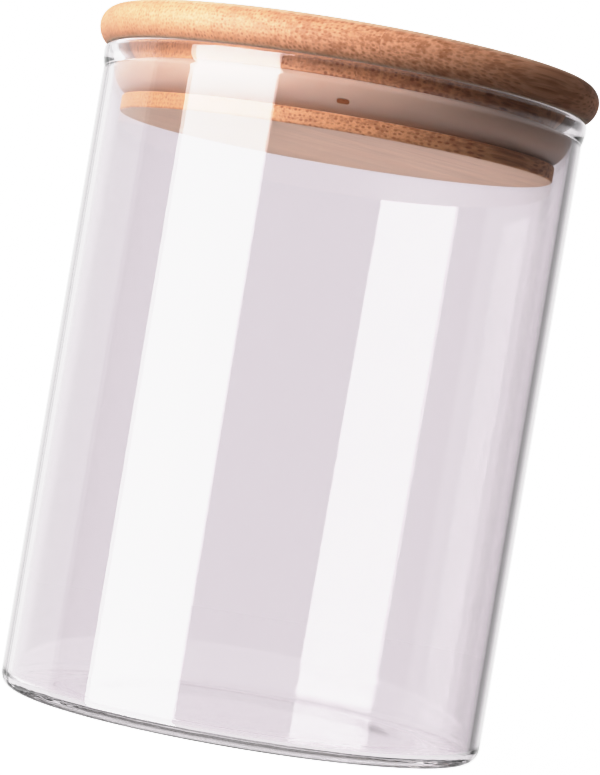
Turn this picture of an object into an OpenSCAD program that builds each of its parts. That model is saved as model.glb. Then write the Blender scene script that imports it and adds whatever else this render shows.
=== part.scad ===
// Lidded glass canister: a straight glass jar closed by a bamboo lid, which is a cap and a plug glued up from
// strips. A hollow silicone ring sits in the plug's groove and seals against the inside of the glass.
// The origin is the centre of the base, +Z is up, and the seal's vent faces -Y.

/* [Glass jar] */
// Outside radius of the glass wall
jar_r = 50; // [35:0.5:80]
// Height from the base to the top of the rim
jar_h = 133.7; // [60:0.1:260]
// Thickness of the glass wall
wall_t = 2; // [1.6:0.1:3.5]
// Thickness of the glass floor
floor_t = 2.2; // [1.5:0.1:6]
// Rounding between the wall and the base, outside
heel_round = 3; // [1:0.5:10]
// Rounding between the wall and the floor, inside
floor_round = 1.5; // [1:0.5:10]
// How far the bead around the rim stands out from the wall
bead_out = 0.4; // [0.2:0.1:2]
// Height of the bead around the rim
bead_h = 2.4; // [1.8:0.1:6]
// Rounding of the bead's edges
bead_round = 0.8; // [0.2:0.1:0.8]

/* [Bamboo cap] */
// How far the cap stands out past the glass wall
cap_over = 2.2; // [1:0.1:8]
// Thickness of the cap
cap_t = 7.8; // [5:0.1:16]
// Rounding of the cap's top edge
cap_round = 3.8; // [1:0.1:4.5]
// How far the cap draws in from its widest line to its underside
cap_draw_in = 2.2; // [0.5:0.1:2.6]
// Number of strips glued edge to edge across the cap
cap_strips = 7; // [3:1:11]

/* [Bamboo plug] */
// Height of the neck between the cap and the groove
neck_h = 3; // [1:0.1:8]
// Gap between the neck and the glass
neck_gap = 2.4; // [1:0.1:4]
// Height of the groove that holds the seal
groove_h = 7.1; // [4:0.1:12]
// Depth of the groove, from the edge of the flange below it
groove_depth = 2.3; // [1.8:0.1:8]
// Thickness of the flange below the groove
flange_t = 3.35; // [1.5:0.05:8]
// Gap between the flange and the glass
flange_gap = 2.7; // [1:0.1:4]
// Rounding of the flange's edges
flange_round = 0.5; // [0.1:0.1:0.7]
// Number of strips glued edge to edge across the plug
plug_strips = 6; // [2:1:10]
// Turn of the bamboo's fibres from front to back, in degrees
fibre_turn = -40; // [-90:5:90]

/* [Seal ring] */
// Gap between the seal and the glass
seal_gap = 0.1; // [0.05:0.01:0.4]
// Play of the seal in its groove
seal_play = 0.05; // [0.02:0.01:0.1]
// Thickness of the seal's hollow skin
seal_skin = 1; // [0.6:0.1:1.2]
// Rounding of the seal's upper shoulder
seal_round = 1.3; // [0.8:0.1:1.8]
// How far the seal draws in from its widest line to its lower edge
seal_taper = 3.9; // [1.5:0.1:4.2]
// Width of the vent slot at the front of the seal
vent_w = 2.5; // [1.6:0.1:6]
// Height of the vent slot
vent_h = 1; // [0.8:0.1:1.5]
// Height of the vent's centre above the seal's lower edge
vent_up = 2.3; // [1.8:0.1:3]

/* [Hidden] */
$fn = 128;
past = 1; // how far a cutting shape runs past what it cuts

bore_r = jar_r - wall_t;
cap_r = jar_r + cap_over;
cap_belly = cap_t - cap_round;
neck_r = bore_r - neck_gap;
flange_r = bore_r - flange_gap;
groove_r = flange_r - groove_depth;
flange_z = jar_h - neck_h - groove_h - flange_t;
groove_z = flange_z + flange_t;

seal_r = bore_r - seal_gap;
seal_back = groove_r + seal_play;
seal_h = groove_h - 2 * seal_play;
seal_belly = seal_h - seal_round;

function cap_name(i) = str("cap_strip_", i);
function plug_name(i) = str("plug_strip_", i);

// Radius of an arc that leaves a vertical side and draws in by `in` over a drop of `drop`
function draw_in_radius(in, drop) = (in * in + drop * drop) / (2 * in);

// Half section from the axis out to w and up to h, with its outer corners rounded
module half_block(w, h, low = 0, high = 0) {
    translate([0, low]) square([w, h - low - high]);
    if (low > 0) {
        square([w - low, 2 * low]);
        translate([w - low, low]) circle(low);
    }
    if (high > 0) {
        translate([0, h - 2 * high]) square([w - high, 2 * high]);
        translate([w - high, h - high]) circle(high);
    }
}

// Half section whose upper corner is rounded and whose side below draws in along a larger arc
module belly_block(w, h, high, in) {
    belly = h - high;
    low_r = draw_in_radius(in, belly);
    square([w - max(high, low_r), h]);
    intersection() {
        translate([0, belly]) square([w + past, high]);
        union() {
            square([w - high, h]);
            translate([w - high, belly]) circle(high);
        }
    }
    intersection() {
        square([w + past, belly]);
        union() {
            square([w - low_r, h]);
            translate([w - low_r, belly]) circle(low_r);
        }
    }
}

// Rounded bead that finishes the top of the glass wall
module bead_section() {
    width = wall_t + bead_out;
    translate([bore_r, jar_h - bead_h]) {
        translate([bead_round, 0]) square([width - 2 * bead_round, bead_h]);
        translate([0, bead_round]) square([width, bead_h - 2 * bead_round]);
        for (x = [bead_round, width - bead_round], z = [bead_round, bead_h - bead_round])
            translate([x, z]) circle(bead_round);
    }
}

module jar_section() {
    wall_top = jar_h - bead_h / 2;
    difference() {
        half_block(jar_r, wall_top, heel_round);
        translate([0, floor_t]) half_block(bore_r, wall_top, floor_round);
    }
    bead_section();
}

module glass_jar() {
    color("lightcyan", 0.4) rotate_extrude() jar_section();
}

// Hollow bulb that is open towards the floor of the groove
module seal_section() {
    outer_arc = draw_in_radius(seal_taper, seal_belly);
    translate([0, groove_z + seal_play]) difference() {
        intersection() {
            belly_block(seal_r, seal_h, seal_round, seal_taper);
            translate([seal_back, 0]) square([seal_r, seal_h]);
        }
        intersection() {
            translate([0, seal_skin]) square([seal_r - seal_skin, seal_h - 2 * seal_skin]);
            union() {
                translate([0, seal_belly]) square([seal_r, seal_round]);
                square([seal_r - outer_arc, seal_h]);
                translate([seal_r - outer_arc, seal_belly]) circle(outer_arc - seal_skin);
            }
        }
    }
}

// Slot with round ends that lets air out of the hollow seal
module vent_slot() {
    end_x = (vent_w - vent_h) / 2;
    translate([0, -seal_back - seal_skin, groove_z + seal_play + vent_up])
        rotate([90, 0, 0]) linear_extrude(height = seal_r) {
            translate([-end_x, -vent_h / 2]) square([2 * end_x, vent_h]);
            for (side = [-1, 1]) translate([side * end_x, 0]) circle(vent_h / 2);
        }
}

module seal_ring() {
    color("silver") difference() {
        rotate_extrude() seal_section();
        vent_slot();
    }
}

// One of `count` equal strips, long front to back, across a round board of radius r
module strip_slab(i, count, r) {
    strip_w = 2 * r / count;
    translate([-r + (i - 1) * strip_w, -r - past, 0])
        cube([strip_w, 2 * (r + past), jar_h + cap_t + past]);
}

module cap_strip(i) {
    color("burlywood") rotate([0, 0, fibre_turn]) intersection() {
        translate([0, 0, jar_h]) rotate_extrude() belly_block(cap_r, cap_t, cap_round, cap_draw_in);
        strip_slab(i, cap_strips, cap_r);
    }
}

module plug_section() {
    translate([0, flange_z]) half_block(flange_r, flange_t, flange_round, flange_round);
    translate([0, flange_z]) square([groove_r, jar_h - flange_z]);
    translate([0, jar_h - neck_h]) square([neck_r, neck_h]);
}

module plug_strip(i) {
    color("tan") rotate([0, 0, fibre_turn]) intersection() {
        rotate_extrude() plug_section();
        strip_slab(i, plug_strips, neck_r);
    }
}

glass_jar();
seal_ring();
for (i = [1 : cap_strips]) cap_strip(i);
for (i = [1 : plug_strips]) plug_strip(i);
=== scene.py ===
"""Looks of the lidded glass canister: a blown glass jar, a bamboo lid glued up from strips and a hollow
silicone seal, standing on a pale studio floor."""

import math

import bmesh
import bpy
import numpy as np
from mathutils import Matrix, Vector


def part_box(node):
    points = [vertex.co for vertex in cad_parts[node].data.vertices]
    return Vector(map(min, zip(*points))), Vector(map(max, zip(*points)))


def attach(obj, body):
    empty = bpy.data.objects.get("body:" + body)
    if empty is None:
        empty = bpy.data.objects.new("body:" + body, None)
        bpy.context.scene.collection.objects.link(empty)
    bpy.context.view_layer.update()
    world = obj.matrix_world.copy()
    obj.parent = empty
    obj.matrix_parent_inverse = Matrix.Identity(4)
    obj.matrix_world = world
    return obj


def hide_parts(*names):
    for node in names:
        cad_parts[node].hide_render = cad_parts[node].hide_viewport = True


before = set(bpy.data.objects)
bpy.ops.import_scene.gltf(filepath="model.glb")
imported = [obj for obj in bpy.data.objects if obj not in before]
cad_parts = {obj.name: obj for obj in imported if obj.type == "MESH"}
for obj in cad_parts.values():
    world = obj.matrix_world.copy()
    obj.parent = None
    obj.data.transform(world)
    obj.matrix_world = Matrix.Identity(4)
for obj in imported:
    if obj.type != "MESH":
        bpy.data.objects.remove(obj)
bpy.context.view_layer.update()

MM = 0.001
RAD = math.pi / 180

# ---------------------------------------------------------------- sizes, in millimetres, read from the frame


def low(node):
    """Lowest corner of a CAD node, in millimetres."""
    return np.array(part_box(node)[0]) / MM


def high(node):
    """Highest corner of a CAD node, in millimetres."""
    return np.array(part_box(node)[1]) / MM


CAP_NODES = sorted(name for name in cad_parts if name.startswith("cap_strip_"))
PLUG_NODES = sorted(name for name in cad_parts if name.startswith("plug_strip_"))

RIM_R, RIM_Z = high("glass_jar")[0], high("glass_jar")[2]
CAP_R = max(high(name)[0] for name in CAP_NODES)
CAP_TOP = high(CAP_NODES[0])[2]
NECK_R = max(high(name)[0] for name in PLUG_NODES)
PLUG_Z = low(PLUG_NODES[0])[2]
SEAL_R, SEAL_Z, SEAL_TOP = high("seal_ring")[0], low("seal_ring")[2], high("seal_ring")[2]

BEAD_OUT = 0.4       # how far the rim's bead stands out from the wall
JAR_R = RIM_R - BEAD_OUT
WALL = 2.0           # thickness of the glass wall
FLOOR = 2.2          # thickness of the glass floor
HEEL = 3.0           # rounding from the wall to the base
FIBRE_TURN = -40.0   # the bamboo's fibres run front to back, turned this many degrees
CAMERA = (0.0010, -0.6462, 0.0704)    # where the camera stands, in metres
BACKDROP = 2.0       # how bright the backdrop is beside the jar
GLOW_UNDER = 9.5     # light that the floor throws up at the wood, under the jar
GLOW_BESIDE = 0.05   # the same beside the jar
CAP_ROUND = 3.8      # rounding of the cap's top edge
CAP_DRAW_IN = 2.2    # how far the cap draws in from its widest line to its underside
NECK_H = 3.0         # height of the neck between the cap and the groove
FLANGE_T = 3.35      # thickness of the flange below the groove
FLANGE_IN = 0.3      # how far the flange stands back from the neck's radius
GROOVE_IN = 2.6      # how far the floor of the groove stands back from it
SEAL_BACK_IN = 2.55  # how far the back of the seal stands back from it
VENT_W, VENT_H, VENT_UP = 2.5, 1.0, 2.3   # the vent slot, and its centre above the seal's lower edge
AROUND = 288         # points round the axis on every turned piece
SENSOR, LENS, ROLL = 36.0, 144.9, 9.6     # the camera, in millimetres and degrees

# ------------------------------------------------------------------ meshes


def arc(centre_r, centre_z, radius, start, stop, count):
    """Points on a circle in the (r, z) plane: centre plus radius times (cos, sin) of angles spaced evenly
    from start to stop, in degrees."""
    angle = np.linspace(start, stop, count) * RAD
    return np.stack([centre_r + radius * np.cos(angle), centre_z + radius * np.sin(angle)], 1)


def line(start, stop, count):
    """Points spaced evenly along a straight line in the (r, z) plane, both ends included."""
    share = np.linspace(0, 1, count)[:, None]
    return np.array(start) * (1 - share) + np.array(stop) * share


def section(*stretches):
    """Joins stretches of (r, z) points into one outline and drops a point that repeats the one before it."""
    points = np.concatenate([np.atleast_2d(np.array(s, float)) for s in stretches])
    step = np.linalg.norm(np.diff(points, axis=0), axis=1)
    return points[np.concatenate([[True], step > 1e-4])]


def mesh_object(name, points, quads, tris=None):
    """Puts whole arrays of points (in millimetres) and faces into a new smooth mesh object at the origin."""
    mesh = bpy.data.meshes.new(name)
    faces = quads.tolist() + ([] if tris is None else tris.tolist())
    mesh.from_pydata((points * MM).tolist(), [], faces)
    mesh.shade_smooth()
    obj = bpy.data.objects.new(name, mesh)
    bpy.context.scene.collection.objects.link(obj)
    return obj


def turned(name, outline, segments, closed=False, warp=None):
    """Carries an (r, z) outline round the Z axis: ring j holds (r sin a, -r cos a, z) at a = 2 pi j /
    segments. An open outline starts and ends on the axis, where each end is one pole point; a closed one
    joins up with itself. warp(r, z, a) may move the grid's r and z with the angle."""
    angle = np.arange(segments) * 2 * math.pi / segments
    body = outline if closed else outline[1:-1]
    r = np.repeat(body[:, :1], segments, 1)
    z = np.repeat(body[:, 1:], segments, 1)
    if warp is not None:
        r, z = warp(r, z, angle[None, :])
    points = np.stack([r * np.sin(angle), -r * np.cos(angle), z], 2).reshape(-1, 3)
    count = len(body)
    row = np.arange(count if closed else count - 1)[:, None]
    col = np.arange(segments)[None, :]
    here, after = row * segments, (row + 1) % count * segments
    side = (col + 1) % segments
    quads = np.stack([here + col, here + side, after + side, after + col], 2).reshape(-1, 4)
    if closed:
        return mesh_object(name, points, quads)
    poles = np.array([[0, 0, outline[0, 1]], [0, 0, outline[-1, 1]]])
    first, last = len(points), len(points) + 1
    ring = np.arange(segments)
    top = (count - 1) * segments
    tris = np.concatenate([
        np.stack([np.full(segments, first), (ring + 1) % segments, ring], 1),
        np.stack([np.full(segments, last), top + ring, top + (ring + 1) % segments], 1)])
    return mesh_object(name, np.concatenate([points, poles]), quads, tris)


def glass_outline():
    """The glass as one line from the axis under the base to the axis above the floor: a base pushed up a
    little inside its standing ring, a round heel, a straight wall that draws in by a hair below the bead, a
    fire-polished lip, the inner wall, a tight inner corner, and a floor with a low step round it that is
    slightly thicker in its middle."""
    push_up, stand_r = 0.5, 38.0
    top_r = 1.05
    inner_r, corner = JAR_R - WALL, 1.4
    under_r = np.linspace(0, stand_r, 16)
    under = np.stack([under_r, push_up * (1 - (under_r / stand_r) ** 6)], 1)
    wall = section((JAR_R, HEEL + 0.1), line((JAR_R, HEEL + 0.4), (JAR_R, RIM_Z - 9), 24))
    bead_z = np.linspace(RIM_Z - 9, RIM_Z - top_r, 40)
    up = np.clip((bead_z - (RIM_Z - 4.6)) / (4.6 - top_r), 0, 1)
    bead = np.stack([JAR_R - 0.05 * np.exp(-((bead_z - RIM_Z + 5.2) / 1.2) ** 2)
                     + BEAD_OUT * np.sin(math.pi * up ** 0.9 * 0.60), bead_z], 1)
    outer_r = bead[-1, 0]
    rim_out = arc(outer_r - top_r, RIM_Z - top_r, top_r, 0, 90, 12)
    rim_in = arc(inner_r + top_r, RIM_Z - top_r, top_r, 90, 180, 12)
    down = line((inner_r, RIM_Z - top_r - 0.5), (inner_r, FLOOR + corner + 0.4), 26)
    inner = section((inner_r, RIM_Z - top_r - 0.1), down, (inner_r, FLOOR + corner + 0.1))
    turn = arc(inner_r - corner, FLOOR + corner, corner, 0, -90, 10)
    floor_r = np.linspace(inner_r - corner, 0, 48)
    step = 0.22 * (1 + np.tanh((stand_r - floor_r) / 0.5)) / 2
    floor = np.stack([floor_r, FLOOR + step + 0.1 * (1 - (floor_r / inner_r) ** 2)], 1)
    return section(under, (JAR_R - HEEL, 0), arc(JAR_R - HEEL, HEEL, HEEL, -90, 0, 14)[1:], wall, bead[1:],
                   rim_out[1:], rim_in, inner, turn, floor[1:])


def uneven_glass(r, z, a):
    """Hand-blown unevenness: near the inner corner the surface rises and falls by a few hundredths of a
    millimetre, as a sum of waves round the jar that fades out up the wall and towards the axis."""
    at_corner = np.exp(-((r - 45) / 4.0) ** 2) * np.exp(-(z / 5.0) ** 2)
    waves = (0.020 * np.sin(7 * a + 0.6) + 0.016 * np.sin(13 * a + 2.1) + 0.012 * np.sin(29 * a + 4.0)
             + 0.010 * np.sin(53 * a + 1.2))
    return r, z + np.where(z > 1.2, at_corner * waves, 0.0)


def seal_outline():
    """The seal's section as one loop: a hollow bulb with a round upper shoulder, a side that draws in to its
    lower edge along one larger arc, and an open back that faces the floor of the groove."""
    skin, shoulder, taper = 1.0, 1.3, 3.9
    height = SEAL_TOP - SEAL_Z
    drop = height - shoulder
    side_r = (taper ** 2 + drop ** 2) / (2 * taper)
    back_r = NECK_R - SEAL_BACK_IN
    belly_z = SEAL_TOP - shoulder
    side_c = SEAL_R - side_r
    foot_angle = -math.asin(drop / side_r) / RAD
    inner_angle = -math.asin((drop - skin) / (side_r - skin)) / RAD
    outside = arc(side_c, belly_z, side_r, foot_angle + 2.5, 0, 22)
    shoulder_arc = arc(SEAL_R - shoulder, belly_z, shoulder, 0, 90, 12)
    inside = arc(side_c, belly_z, side_r - skin, 0, inner_angle, 18)
    return section((back_r, SEAL_Z), (outside[0, 0] - 0.35, SEAL_Z), outside, shoulder_arc[1:],
                   (back_r + 0.3, SEAL_TOP), (back_r, SEAL_TOP - 0.3), (back_r, SEAL_TOP - skin),
                   (SEAL_R - skin - 0.4, SEAL_TOP - skin), inside, (back_r, SEAL_Z + skin))


def slot_cutter(width, height, centre_z, near, far):
    """A bar along -Y whose outline is two half circles joined by straight sides, given at both depths."""
    half = height / 2
    right = arc(width / 2 - half, 0, half, -90, 90, 13)
    left = arc(-width / 2 + half, 0, half, 90, 270, 13)
    ring = np.concatenate([right, left])
    count = len(ring)
    ends = [np.stack([ring[:, 0], np.full(count, -y), ring[:, 1] + centre_z], 1) for y in (near, far)]
    i = np.arange(count)
    quads = np.stack([i, i + count, (i + 1) % count + count, (i + 1) % count], 1)
    cutter = mesh_object("slot_cutter", np.concatenate(ends), quads)
    work = bmesh.new()
    work.from_mesh(cutter.data)
    bmesh.ops.holes_fill(work, edges=work.edges)
    bmesh.ops.recalc_face_normals(work, faces=work.faces)
    work.to_mesh(cutter.data)
    work.free()
    return cutter


def cut_away(piece, cutter):
    """Cuts one solid out of another and keeps the result as the piece's own mesh."""
    tool = piece.modifiers.new("cut", "BOOLEAN")
    tool.operation, tool.solver, tool.object = "DIFFERENCE", "EXACT", cutter
    bpy.context.view_layer.update()
    result = bpy.data.meshes.new_from_object(piece.evaluated_get(bpy.context.evaluated_depsgraph_get()))
    piece.modifiers.clear()
    piece.data = result
    bpy.data.objects.remove(cutter)


def cap_outline():
    """The cap's half section from the axis below to the axis above: flat underside, crisp lower corner, a
    side that swells out to the widest line, a round upper edge and a flat top. Close points beside each edge
    keep the shading flat where the wood is flat."""
    belly = CAP_TOP - CAP_ROUND
    drop = belly - RIM_Z
    low_r = (CAP_DRAW_IN ** 2 + drop ** 2) / (2 * CAP_DRAW_IN)
    corner_angle = -math.asin(drop / low_r) / RAD
    side = arc(CAP_R - low_r, belly, low_r, corner_angle, 0, 16)
    corner_r = side[0, 0]
    upper = arc(CAP_R - CAP_ROUND, belly, CAP_ROUND, 0, 90, 18)
    return section((0, RIM_Z), (corner_r - 2, RIM_Z), (corner_r - 0.25, RIM_Z),
                   (corner_r - 0.02, RIM_Z + 0.02), side[1:], upper[1:],
                   (upper[-1, 0] - 0.6, CAP_TOP), (upper[-1, 0] - 3, CAP_TOP), (0, CAP_TOP))


def plug_outline():
    """The plug's half section: a flange with eased edges, the groove that holds the seal, and the neck."""
    flange_r, groove_r, ease = NECK_R - FLANGE_IN, NECK_R - GROOVE_IN, 0.5
    flange_top, neck_z = PLUG_Z + FLANGE_T, RIM_Z - NECK_H
    return section((0, PLUG_Z), (flange_r - 3, PLUG_Z), (flange_r - ease - 0.3, PLUG_Z),
                   arc(flange_r - ease, PLUG_Z + ease, ease, -90, 0, 7),
                   arc(flange_r - ease, flange_top - ease, ease, 0, 90, 7),
                   (groove_r + 0.4, flange_top), (groove_r, flange_top), (groove_r, flange_top + 0.4),
                   (groove_r, neck_z - 0.4), (groove_r, neck_z), (groove_r + 0.4, neck_z),
                   (NECK_R - 0.3, neck_z), (NECK_R, neck_z + 0.3), (NECK_R, RIM_Z - 0.3), (NECK_R, RIM_Z),
                   (NECK_R - 1, RIM_Z), (0, RIM_Z))


def strips_of(board, nodes, half_width):
    """Saws a turned board into equal strips along the fibres: each is the board between two upright planes,
    with the sawn faces closed. Sharp edges are kept where the surface turns by more than 35 degrees."""
    across = np.array([math.cos(FIBRE_TURN * RAD), math.sin(FIBRE_TURN * RAD), 0])
    width = 2 * half_width / len(nodes)
    strips = []
    for i, node in enumerate(nodes):
        work = bmesh.new()
        work.from_mesh(board.data)
        for edge_x, way in ((-half_width + i * width, -1), (-half_width + (i + 1) * width, 1)):
            if abs(edge_x) > half_width - 0.01:
                continue
            parts = work.verts[:] + work.edges[:] + work.faces[:]
            sawn = bmesh.ops.bisect_plane(work, geom=parts, plane_co=across * edge_x * MM,
                                          plane_no=across * way, clear_outer=True, dist=1e-7)["geom_cut"]
            bmesh.ops.edgeloop_fill(work, edges=[e for e in sawn if isinstance(e, bmesh.types.BMEdge)])
        bmesh.ops.recalc_face_normals(work, faces=work.faces)
        mesh = bpy.data.meshes.new(node + "_wood")
        work.to_mesh(mesh)
        work.free()
        mesh.shade_smooth()
        mesh.set_sharp_from_angle(angle=35 * RAD)
        strip = bpy.data.objects.new(node + "_wood", mesh)
        bpy.context.scene.collection.objects.link(strip)
        strips.append(strip)
    bpy.data.objects.remove(board)
    return strips


# ------------------------------------------------------------------ materials


def add(tree, kind, inputs=None, **settings):
    """A new shader node with its settings, and its inputs set to values or linked to sockets."""
    new = tree.nodes.new(kind)
    for key, value in settings.items():
        setattr(new, key, value)
    for key, value in (inputs or {}).items():
        if isinstance(value, bpy.types.NodeSocket):
            tree.links.new(value, new.inputs[key])
        else:
            new.inputs[key].default_value = value
    return new


def calc(tree, operation, *values, clamp=False):
    """One Math node's result."""
    node = add(tree, "ShaderNodeMath", dict(enumerate(values)), operation=operation, use_clamp=clamp)
    return node.outputs[0]


def ramp(tree, value, start, stop, to_start=0.0, to_stop=1.0):
    """A smooth step of a value from one range to another."""
    return add(tree, "ShaderNodeMapRange", {"Value": value, "From Min": start, "From Max": stop,
               "To Min": to_start, "To Max": to_stop}, interpolation_type="SMOOTHSTEP").outputs["Result"]


def blend(tree, share, first, second, mode="MIX"):
    """One colour Mix node's result."""
    mix = tree.nodes.new("ShaderNodeMix")
    mix.data_type, mix.blend_type = "RGBA", mode
    for socket, value in ((mix.inputs[0], share), (mix.inputs[6], first), (mix.inputs[7], second)):
        if isinstance(value, bpy.types.NodeSocket):
            tree.links.new(value, socket)
        else:
            socket.default_value = value
    return mix.outputs[2]


def noise(tree, vector, scale, detail=2.0, rough=0.5):
    """A noise texture's value."""
    return add(tree, "ShaderNodeTexNoise", {"Vector": vector, "Scale": scale, "Detail": detail,
               "Roughness": rough}).outputs["Fac"]


def xyz(tree, x=0.0, y=0.0, z=0.0):
    """Three values as one vector."""
    return add(tree, "ShaderNodeCombineXYZ", {"X": x, "Y": y, "Z": z}).outputs[0]


def group(name, inputs, outputs):
    """A new shader node group with named sockets, each given as (name, socket type, default)."""
    tree = bpy.data.node_groups.new(name, "ShaderNodeTree")
    for label, kind, default in inputs:
        socket = tree.interface.new_socket(label, in_out="INPUT", socket_type=kind)
        if default is not None:
            socket.default_value = default
    for label, kind in outputs:
        tree.interface.new_socket(label, in_out="OUTPUT", socket_type=kind)
    return tree, tree.nodes.new("NodeGroupInput"), tree.nodes.new("NodeGroupOutput")


def bamboo_group():
    """Bamboo as it grows: round dark fibre bundles in a pale ground, all running along Y. Cut across they
    show as dots and cut along they show as streaks. Both are made stronger towards +X. For the dots this is
    painted light and shade: they fade on the left, where the key light falls, as a painted highlight, and
    darken towards the shaded right. Each glued strip takes its own stretch of the pattern and its own tone,
    with a thin glue line between strips. Lengths are in millimetres."""
    tree, take, give = group(
        "bamboo_fibres",
        [("Place", "NodeSocketVector", None), ("Half Width", "NodeSocketFloat", 50.0),
         ("Strip Width", "NodeSocketFloat", 15.0), ("Seed", "NodeSocketFloat", 0.0),
         ("Bundle Spacing", "NodeSocketFloat", 0.84), ("Bundle Strength", "NodeSocketFloat", 1.0),
         ("Flat", "NodeSocketFloat", 0.0), ("Face", "NodeSocketColor", (0.6, 0.4, 0.3, 1)),
         ("Ground", "NodeSocketColor", (0.7, 0.4, 0.2, 1)), ("Pale", "NodeSocketColor", (0.8, 0.5, 0.3, 1)),
         ("Bundle", "NodeSocketColor", (0.3, 0.13, 0.05, 1))],
        [("Color", "NodeSocketColor"), ("Roughness", "NodeSocketFloat"), ("Height", "NodeSocketFloat")])
    o = take.outputs
    split = add(tree, "ShaderNodeSeparateXYZ", {0: o["Place"]}).outputs
    x, y, z = split[0], split[1], split[2]

    # which strip, and what is particular to it
    across = calc(tree, "DIVIDE", calc(tree, "ADD", x, o["Half Width"]), o["Strip Width"])
    number = calc(tree, "ADD", calc(tree, "FLOOR", across), o["Seed"])
    own = add(tree, "ShaderNodeTexWhiteNoise", {"W": number}, noise_dimensions="1D")
    own_rgb = add(tree, "ShaderNodeSeparateColor", {0: own.outputs["Color"]}).outputs
    tone = own.outputs["Value"]
    share = calc(tree, "FRACT", across)
    to_seam = calc(tree, "MULTIPLY", calc(tree, "MINIMUM", share, calc(tree, "SUBTRACT", 1.0, share)),
                   o["Strip Width"])
    seam = ramp(tree, to_seam, 0.01, 0.07, 1.0, 0.0)

    # fibres wander a little on their way along the strip
    along = xyz(tree, calc(tree, "MULTIPLY", x, 0.06), calc(tree, "MULTIPLY", y, 0.022),
                calc(tree, "MULTIPLY", z, 0.06))
    drift = add(tree, "ShaderNodeTexNoise", {"Vector": along, "Scale": 1.0, "Detail": 2.0})
    drift_rgb = add(tree, "ShaderNodeSeparateColor", {0: drift.outputs["Color"]}).outputs
    px = calc(tree, "ADD", calc(tree, "ADD", x, calc(tree, "MULTIPLY", own_rgb[0], 70.0)),
              calc(tree, "MULTIPLY", drift_rgb[0], 3.0))
    pz = calc(tree, "ADD", calc(tree, "ADD", z, calc(tree, "MULTIPLY", own_rgb[1], 70.0)),
              calc(tree, "MULTIPLY", drift_rgb[1], 3.0))

    # bundles
    spot = xyz(tree, calc(tree, "DIVIDE", px, o["Bundle Spacing"]),
               calc(tree, "DIVIDE", pz, o["Bundle Spacing"]))
    cell = add(tree, "ShaderNodeTexVoronoi", {"Vector": spot, "Scale": 1.0, "Randomness": 0.6},
               voronoi_dimensions="2D", feature="F1")
    cell_rgb = add(tree, "ShaderNodeSeparateColor", {0: cell.outputs["Color"]}).outputs
    reach = calc(tree, "MULTIPLY_ADD", cell_rgb[0], 0.12, 0.17)
    dot = add(tree, "ShaderNodeMapRange", {"Value": cell.outputs["Distance"],
              "From Min": calc(tree, "ADD", reach, 0.16), "From Max": calc(tree, "SUBTRACT", reach, 0.10)},
              interpolation_type="SMOOTHSTEP").outputs["Result"]
    patch = noise(tree, xyz(tree, calc(tree, "MULTIPLY", px, 0.16), calc(tree, "MULTIPLY", y, 0.02),
                  calc(tree, "MULTIPLY", pz, 0.3)), 1.0, 2.0)
    strength = calc(tree, "MULTIPLY", ramp(tree, patch, 0.25, 0.6, 0.35, 1.0), o["Bundle Strength"])
    # painted light and shade: the dots fade towards -X, where the key light falls, and darken towards the
    # shaded +X side
    strength = calc(tree, "MULTIPLY", strength, ramp(tree, x, -45.0, 25.0, 0.45, 1.0))
    strength = calc(tree, "MULTIPLY", strength, calc(tree, "MULTIPLY_ADD", o["Flat"], -0.7, 1.0))
    bundles = calc(tree, "MULTIPLY", dot, calc(tree, "MULTIPLY", strength,
                   calc(tree, "MULTIPLY_ADD", cell_rgb[1], 0.5, 0.5)), clamp=True)

    # fine fibres and broad bands of tone
    fine = noise(tree, xyz(tree, calc(tree, "MULTIPLY", px, 2.4), calc(tree, "MULTIPLY", y, 0.03),
                 calc(tree, "MULTIPLY", pz, 2.4)), 1.0, 3.0, 0.6)
    streak = noise(tree, xyz(tree, calc(tree, "MULTIPLY", px, 0.75), calc(tree, "MULTIPLY", y, 0.03),
                   calc(tree, "MULTIPLY", pz, 0.9)), 1.0, 3.0, 0.6)
    streak = calc(tree, "MULTIPLY", ramp(tree, streak, 0.45, 0.62), ramp(tree, x, -5.0, 42.0, 0.05, 0.6))
    broad = noise(tree, xyz(tree, calc(tree, "MULTIPLY", px, 0.28), calc(tree, "MULTIPLY", y, 0.008),
                  calc(tree, "MULTIPLY", pz, 0.28)), 1.0, 2.0)
    ground = blend(tree, ramp(tree, fine, 0.3, 0.7), o["Ground"], o["Pale"])
    calm = blend(tree, ramp(tree, fine, 0.2, 0.8, 0.85, 1.0), (0, 0, 0, 1), o["Face"])
    ground = blend(tree, o["Flat"], ground, calm)
    shade = calc(tree, "MULTIPLY", calc(tree, "MULTIPLY_ADD", tone, 0.10, 0.95),
                 calc(tree, "MULTIPLY_ADD", broad, 0.30, 0.85))
    ground = blend(tree, 1.0, ground, xyz(tree, shade, shade, shade), "MULTIPLY")
    streak = calc(tree, "MULTIPLY", streak, calc(tree, "SUBTRACT", 1.0, o["Flat"]))
    colour = blend(tree, streak, ground, o["Bundle"])
    colour = blend(tree, bundles, colour, o["Bundle"])
    colour = blend(tree, calc(tree, "MULTIPLY", seam, 0.35), colour, o["Bundle"])
    tree.links.new(colour, give.inputs["Color"])
    tree.links.new(calc(tree, "MULTIPLY_ADD", fine, 0.12, calc(tree, "MULTIPLY_ADD", bundles, 0.15, 0.52)),
                   give.inputs["Roughness"])
    depth = calc(tree, "SUBTRACT", calc(tree, "MULTIPLY", fine, 0.4),
                 calc(tree, "ADD", calc(tree, "MULTIPLY", bundles, 0.6), calc(tree, "MULTIPLY", seam, 0.8)))
    tree.links.new(depth, give.inputs["Height"])
    return tree


def new_material(name):
    """An empty node material with its output."""
    mat = bpy.data.materials.new(name)
    mat.use_nodes = True
    tree = mat.node_tree
    tree.nodes.clear()
    return mat, tree, tree.nodes.new("ShaderNodeOutputMaterial")


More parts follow.
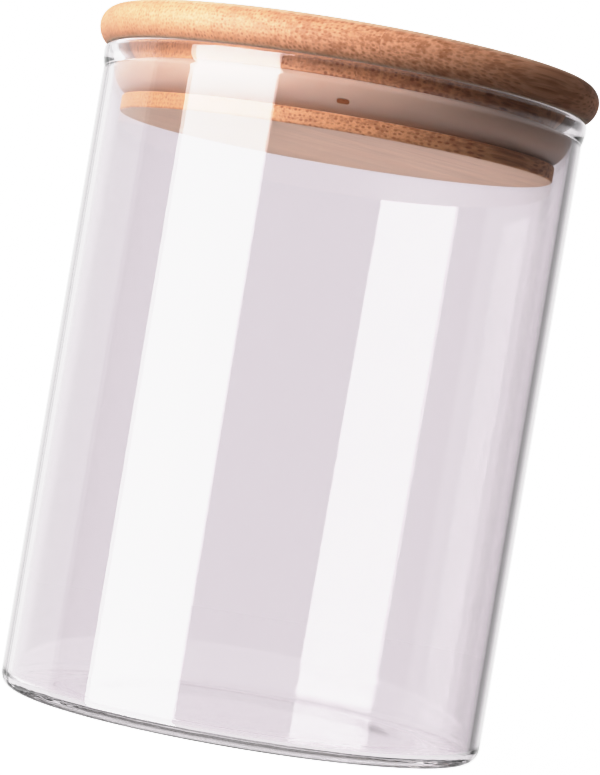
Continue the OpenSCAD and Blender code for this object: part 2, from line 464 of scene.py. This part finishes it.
def bamboo(name, fibres, half_width, strip_width, seed, strength, colours, specular):
    """Sanded bamboo: the fibre pattern turned to the board's own direction, slightly glossy."""
    mat, tree, out = new_material(name)
    place = add(tree, "ShaderNodeMapping", {"Vector": add(tree, "ShaderNodeTexCoord").outputs["Object"],
                "Rotation": (0, 0, -FIBRE_TURN * RAD), "Scale": (1 / MM,) * 3}).outputs[0]
    wood = add(tree, "ShaderNodeGroup", node_tree=fibres)
    tree.links.new(place, wood.inputs["Place"])
    for label, value in (("Half Width", half_width), ("Strip Width", strip_width), ("Seed", seed),
                         ("Bundle Strength", strength), *colours.items()):
        wood.inputs[label].default_value = value
    normal = add(tree, "ShaderNodeNewGeometry").outputs["Normal"]
    upright = add(tree, "ShaderNodeSeparateXYZ", {0: normal}).outputs[2]
    tree.links.new(ramp(tree, calc(tree, "ABSOLUTE", upright), 0.7, 0.98), wood.inputs["Flat"])
    bump = add(tree, "ShaderNodeBump", {"Height": wood.outputs["Height"], "Strength": 0.35,
               "Distance": 0.00008})
    shader = add(tree, "ShaderNodeBsdfPrincipled", {"Base Color": wood.outputs["Color"],
                 "Roughness": wood.outputs["Roughness"], "Normal": bump.outputs[0],
                 "Specular IOR Level": specular})
    tree.links.new(shader.outputs[0], out.inputs[0])
    return mat


def clear_glass():
    """Clear blown glass with a faint grey tint and a slightly uneven polish. Light from the lamps passes
    straight through to what is inside."""
    mat, tree, out = new_material("clear_glass")
    place = add(tree, "ShaderNodeTexCoord").outputs["Object"]
    uneven = noise(tree, place, 60.0, 2.0)
    tint = blend(tree, uneven, (0.915, 0.874, 0.906, 1), (0.925, 0.884, 0.914, 1))
    glass = add(tree, "ShaderNodeBsdfPrincipled", {"Base Color": tint, "Roughness": 0.0, "IOR": 1.47,
                "Transmission Weight": 1.0})
    clear = add(tree, "ShaderNodeBsdfTransparent", {"Color": (0.93, 0.92, 0.93, 1)})
    mix = add(tree, "ShaderNodeMixShader", {0: add(tree, "ShaderNodeLightPath").outputs["Is Shadow Ray"],
              1: glass.outputs[0], 2: clear.outputs[0]})
    tree.links.new(mix.outputs[0], out.inputs[0])
    return mat


def silicone():
    """Soft translucent silicone: faint mottling, a satin skin and very fine moulding marks. Its warm beige is
    partly the seal's own grey and partly a painted glow of the lit wood behind, seen through the skin. Part
    of the lamps' light passes through it to the wood behind."""
    mat, tree, out = new_material("soft_silicone")
    place = add(tree, "ShaderNodeTexCoord").outputs["Object"]
    mottle = noise(tree, place, 180.0, 3.0)
    # painted light: the warm beige stands for the lit wood glowing through the seal's grey skin
    colour = blend(tree, mottle, (0.61, 0.41, 0.305, 1), (0.67, 0.455, 0.345, 1))
    fine = noise(tree, place, 2600.0, 2.0)
    bump = add(tree, "ShaderNodeBump", {"Height": fine, "Strength": 0.15, "Distance": 0.00005})
    skin = add(tree, "ShaderNodeBsdfPrincipled", {"Base Color": colour, "Normal": bump.outputs[0],
               "Roughness": calc(tree, "MULTIPLY_ADD", mottle, 0.12, 0.38), "IOR": 1.41,
               "Subsurface Weight": 0.35, "Subsurface Radius": (1.0, 0.6, 0.45), "Subsurface Scale": 0.0015})
    clear = add(tree, "ShaderNodeBsdfTransparent", {"Color": (0.55, 0.48, 0.43, 1)})
    mix = add(tree, "ShaderNodeMixShader", {0: add(tree, "ShaderNodeLightPath").outputs["Is Shadow Ray"],
              1: skin.outputs[0], 2: clear.outputs[0]})
    tree.links.new(mix.outputs[0], out.inputs[0])
    return mat


# ------------------------------------------------------------------ the pieces


def dress(piece, material, body, slot, *nodes):
    """Gives a finished piece its material and ties it to the frame."""
    piece.data.materials.clear()
    piece.data.materials.append(material)
    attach(piece, body)
    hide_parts(*nodes)


def make_jar():
    jar = turned("blown_glass_jar", glass_outline(), AROUND, warp=uneven_glass)
    dress(jar, clear_glass(), "jar", "glass", "glass_jar")


def make_seal():
    seal = turned("hollow_seal", seal_outline(), AROUND, closed=True)
    work = bmesh.new()
    work.from_mesh(seal.data)
    bmesh.ops.recalc_face_normals(work, faces=work.faces)
    work.to_mesh(seal.data)
    work.free()
    cut_away(seal, slot_cutter(VENT_W, VENT_H, SEAL_Z + VENT_UP, SEAL_R - 3.4, SEAL_R + 2))
    seal.data.set_sharp_from_angle(angle=40 * RAD)
    dress(seal, silicone(), "seal", "silicone", "seal_ring")


def make_lid():
    fibres = bamboo_group()
    colours = {"Ground": (0.66, 0.285, 0.150, 1), "Pale": (0.77, 0.375, 0.230, 1),
               "Bundle": (0.34, 0.110, 0.042, 1), "Face": (0.86, 0.60, 0.42, 1)}
    # painted light: the plug gets a lighter, more orange copy of the cap's bamboo, to brighten the neck and
    # flange that sit in the cap's shade
    plug_colours_painted_lighter = {**colours, "Ground": (0.71, 0.315, 0.132, 1), "Pale": (0.82, 0.41, 0.20, 1)}
    boards = (("cap", CAP_NODES, CAP_R, cap_outline(), 3.0, 0.75, 0.4, colours),
              ("plug", PLUG_NODES, NECK_R, plug_outline(), 31.0, 1.0, 0.5, plug_colours_painted_lighter))
    for name, nodes, half, outline, seed, strength, specular, wood_colours in boards:
        wood = bamboo(name + "_bamboo", fibres, half, 2 * half / len(nodes), seed, strength, wood_colours,
                      specular)
        board = turned(name + "_board", outline, AROUND)
        for node, strip in zip(nodes, strips_of(board, nodes, half)):
            dress(strip, wood, "lid", "bamboo_" + name, node)


make_jar()
make_seal()
make_lid()

# ------------------------------------------------------------------ studio


def make_floor():
    """A plain pale floor, lit like a light table: seen white, with a soft shadow only close to the jar. There
    its glow is painted darker, and a faint paper that takes the jar's real shadow makes the glow up where it
    is lit.
    Wood and silicone get a part of its light from below. Mirrored rays and views from underneath pass
    through."""
    points = arc(0, 0, 4000.0, 0, 358, 180)
    points = np.concatenate([np.stack([points[:, 0], points[:, 1], np.full(180, -0.05)], 1), [[0, 0, -0.05]]])
    i = np.arange(180)
    tris = np.stack([i, (i + 1) % 180, np.full(180, 180)], 1)
    floor = mesh_object("studio_floor", points, np.zeros((0, 4), int), tris)
    mat, tree, out = new_material("studio_white")
    path = add(tree, "ShaderNodeLightPath").outputs
    lit = calc(tree, "GREATER_THAN", path["Diffuse Depth"], 0.5)
    turned_back = calc(tree, "GREATER_THAN", path["Glossy Depth"], 0.5)
    reach = add(tree, "ShaderNodeVectorMath", {0: add(tree, "ShaderNodeTexCoord").outputs["Object"]},
                operation="LENGTH").outputs["Value"]
    # painted shade: close to the jar the floor's glow is lowered, and the faint paper, which takes the real
    # shadow, makes it up only where light reaches it
    shaded = calc(tree, "MULTIPLY", ramp(tree, reach, 0.06, 0.30, 0.12, 0.0),
                  calc(tree, "SUBTRACT", 1.0, lit))
    upward = ramp(tree, reach, 0.034, 0.05, GLOW_UNDER, GLOW_BESIDE)
    bright = add(tree, "ShaderNodeMix", {0: path["Is Camera Ray"], 2: 1.0, 3: BACKDROP}).outputs[0]
    strength = add(tree, "ShaderNodeMix", {0: lit, 2: bright, 3: upward}).outputs[0]
    glow = add(tree, "ShaderNodeEmission", {"Strength": calc(tree, "SUBTRACT", strength,
               calc(tree, "MULTIPLY", shaded, 0.6))})
    paper = add(tree, "ShaderNodeBsdfDiffuse", {"Color": xyz(tree, shaded, shaded, shaded)})
    both = add(tree, "ShaderNodeAddShader", {0: glow.outputs[0], 1: paper.outputs[0]})
    clear = add(tree, "ShaderNodeBsdfTransparent")
    from_below = add(tree, "ShaderNodeNewGeometry").outputs["Backfacing"]
    see_through = calc(tree, "MAXIMUM", turned_back, from_below)
    mix = add(tree, "ShaderNodeMixShader", {0: see_through, 1: both.outputs[0], 2: clear.outputs[0]})
    tree.links.new(mix.outputs[0], out.inputs[0])
    floor.data.materials.append(mat)
    floor.visible_glossy = False


def make_world():
    """White to the eye all round. Polished surfaces mirror a white backdrop behind the jar and a dim studio
    in front of it. As light on the wood it is soft, brighter from the left than from the right."""
    world = bpy.data.worlds.new("studio")
    bpy.context.scene.world = world
    world.use_nodes = True
    tree = world.node_tree
    tree.nodes.clear()
    out = tree.nodes.new("ShaderNodeOutputWorld")
    path = add(tree, "ShaderNodeLightPath").outputs
    way = add(tree, "ShaderNodeTexCoord").outputs["Generated"]

    def facing(direction):
        dot = add(tree, "ShaderNodeVectorMath", {0: way, 1: direction}, operation="DOT_PRODUCT")
        return dot.outputs["Value"]

    soft = ramp(tree, facing((-0.78, -0.55, 0.30)), -0.2, 0.95, 0.02, 0.45)
    level = add(tree, "ShaderNodeMath", {0: facing((0, 0, 1))}, operation="ABSOLUTE").outputs[0]
    round_about = calc(tree, "ADD", ramp(tree, facing((-0.5, 0.87, 0)), -0.2, 0.95, 0.05, 0.26),
                       ramp(tree, facing((0, 1, 0)), 0.85, 0.98, 0.0, 0.74))
    sideways = calc(tree, "MULTIPLY", path["Is Transmission Ray"], ramp(tree, level, 0.15, 0.28))
    piped = calc(tree, "GREATER_THAN", path["Glossy Depth"], 1.5)
    mirrored = calc(tree, "MAXIMUM", round_about, calc(tree, "MAXIMUM", sideways, piped))
    turned_back = calc(tree, "GREATER_THAN", path["Glossy Depth"], 0.5)
    scattered = calc(tree, "GREATER_THAN", path["Diffuse Depth"], 0.5)
    bright = add(tree, "ShaderNodeMix", {0: path["Is Camera Ray"], 2: 1.0, 3: BACKDROP}).outputs[0]
    seen = add(tree, "ShaderNodeMix", {0: turned_back, 2: bright, 3: mirrored}).outputs[0]
    strength = add(tree, "ShaderNodeMix", {0: scattered, 2: seen, 3: soft}).outputs[0]
    back = add(tree, "ShaderNodeBackground", {"Color": (1, 1, 1, 1), "Strength": strength})
    tree.links.new(back.outputs[0], out.inputs[0])


def softbox(name, azimuth, distance, width, bottom, top, radiance, diffuse=True):
    """An upright softbox that faces the jar and shows in no reflection. azimuth is in degrees from the front,
    positive to the right, and its power is radiance times pi times its area."""
    a = azimuth * RAD
    place = np.array([math.sin(a) * distance, -math.cos(a) * distance, (bottom + top) / 2]) * MM
    light = bpy.data.lights.new(name, "AREA")
    light.shape, light.size, light.size_y = "RECTANGLE", width * MM, (top - bottom) * MM
    light.energy = radiance * math.pi * light.size * light.size_y
    light.spread = 180 * RAD
    lamp = bpy.data.objects.new(name, light)
    bpy.context.scene.collection.objects.link(lamp)
    lamp.location = place
    lamp.rotation_euler = (90 * RAD, 0, a)
    lamp.visible_camera = False
    lamp.visible_transmission = False
    lamp.visible_diffuse = diffuse
    lamp.visible_glossy = False
    return lamp


def mirrored_at(share, distance):
    """The plan point that the camera sees mirrored in the jar's far wall, at a share of the jar's radius to
    the right of its axis and a distance on from the wall. The sight line d and the wall's normal n give the
    way back as d - 2 (d . n) n."""
    spot = np.array([share, math.sqrt(1 - share ** 2)]) * (JAR_R - WALL)
    sight = spot - np.array(CAMERA[:2]) / MM
    sight /= np.linalg.norm(sight)
    normal = -spot / np.linalg.norm(spot)
    return spot + (sight - 2 * (sight @ normal) * normal) * distance


def card(name, first, last, radiance, roll=0.0):
    """A bright upright card that shows only in reflections, also in those that leave the jar through its
    wall. first and last give the shares of the radius between which the far wall mirrors it, each with that
    edge's distance from the wall. roll turns the card in its own plane, in degrees."""
    stop, start = mirrored_at(*first), mirrored_at(*last)
    run, middle = stop - start, (start + stop) / 2
    lamp = softbox(name, 0, 0, float(np.linalg.norm(run)), -160, 330, radiance, False)
    lamp.matrix_world = (Matrix.Translation((middle[0] * MM, middle[1] * MM, 85 * MM))
                         @ Matrix.Rotation(math.atan2(run[1], run[0]), 4, "Z")
                         @ Matrix.Rotation(90 * RAD, 4, "X")
                         @ Matrix.Rotation(roll * RAD, 4, "Z"))
    lamp.visible_glossy = True
    lamp.visible_transmission = True
    lamp.data.use_nodes = True
    tree = lamp.data.node_tree
    tree.nodes.clear()
    fresh = calc(tree, "LESS_THAN", add(tree, "ShaderNodeLightPath").outputs["Diffuse Depth"], 0.5)
    glow = add(tree, "ShaderNodeEmission", {"Strength": fresh})
    tree.links.new(glow.outputs[0], tree.nodes.new("ShaderNodeOutputLight").inputs[0])


def make_lights():
    softbox("key", -50, 700, 420, 160, 580, 18.0)
    card("left_card", (0.245, 397), (0.593, 502), 10.0, roll=3)
    card("back_left_card", (0.73, 400), (0.95, 400), 0.8)


def make_camera():
    """Level camera in front of the jar, rolled so that the jar leans to the right."""
    data = bpy.data.cameras.new("camera")
    data.sensor_width = SENSOR
    data.lens = LENS
    data.clip_end = 20.0
    camera = bpy.data.objects.new("camera", data)
    bpy.context.scene.collection.objects.link(camera)
    camera.matrix_world = (Matrix.Translation(CAMERA) @ Matrix.Rotation(90 * RAD, 4, "X")
                           @ Matrix.Rotation(ROLL * RAD, 4, "Z"))
    bpy.context.scene.camera = camera


def soften_highlights():
    """Rolls the brightest tones off gently, up to the brightness of the backdrop, which shows as white."""
    view = bpy.context.scene.view_settings
    view.view_transform = "Standard"
    view.use_curve_mapping = True
    curves = view.curve_mapping
    curves.white_level = (BACKDROP,) * 3
    shoulder = curves.curves[3]
    for light, shown in ((0.35, 0.35), (0.6, 0.6), (0.8, 0.77), (1.0, 0.87), (1.25, 0.92), (1.6, 0.95)):
        shoulder.points.new(light / BACKDROP, shown)
    curves.update()


make_floor()
make_world()
make_lights()
make_camera()
soften_highlights()
cycles = bpy.context.scene.cycles
cycles.max_bounces, cycles.glossy_bounces, cycles.transmission_bounces = 32, 24, 32
